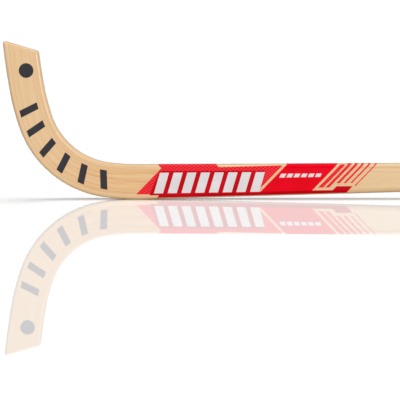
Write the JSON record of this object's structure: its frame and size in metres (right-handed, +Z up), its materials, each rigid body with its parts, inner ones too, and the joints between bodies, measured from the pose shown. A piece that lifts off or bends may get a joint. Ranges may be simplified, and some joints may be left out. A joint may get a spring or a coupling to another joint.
{
  "type": "rink hockey stick",
  "caption": "Bent laminated wooden stick with a flat-sided upturned hook, a tapering shaft and printed film panels, for striking and steering a ball on a rink.",
  "frame": {"origin": "centre of the underside of the stick's bounding box, which is the level of the heel it stands on", "axes": "+X along the straight shaft towards the butt (the toe is at -X), +Y through the thickness, +Z up, the way the hook points"},
  "size_m": [0.9358, 0.0208, 0.2058],
  "materials": {
    "edge_ply": "clear lacquered ash, straight grain along the ply",
    "core_ply_warm": "clear lacquered ash, straight grain along the ply, slightly warmer",
    "core_ply_pale": "clear lacquered ash, straight grain along the ply, slightly paler",
    "glass_fibre": "resin-soaked glass fibre between two plies, flush with the wood",
    "weave_red_film": "printed film with a fine woven pattern in two reds",
    "red_film": "plain glossy red film",
    "deep_red_film": "plain glossy deep red film",
    "white_film": "white film",
    "black_film": "near-black film"
  },
  "bodies": {
    "root": {"inner_ply": "edge_ply", "inner_fibre_layer": "glass_fibre", "core_ply_1": "core_ply_warm", "core_ply_2": "core_ply_pale", "core_ply_3": "core_ply_warm", "core_ply_4": "core_ply_pale", "core_ply_5": "core_ply_warm", "outer_fibre_layer": "glass_fibre", "outer_ply": "edge_ply", "front_weave_panel": "weave_red_film", "front_plain_panel": "red_film", "front_lower_strip": "deep_red_film", "front_stripes": "weave_red_film", "front_mark_backing": "deep_red_film", "front_white_blocks": "white_film", "front_white_dashes": "white_film", "front_hook_bars": "black_film", "front_toe_disc": "black_film", "back_weave_panel": "weave_red_film", "back_plain_panel": "red_film", "back_lower_strip": "deep_red_film", "back_stripes": "weave_red_film", "back_mark_backing": "deep_red_film", "back_white_blocks": "white_film", "back_white_dashes": "white_film", "back_hook_bars": "black_film", "back_toe_disc": "black_film"}
  },
  "joints": []
}
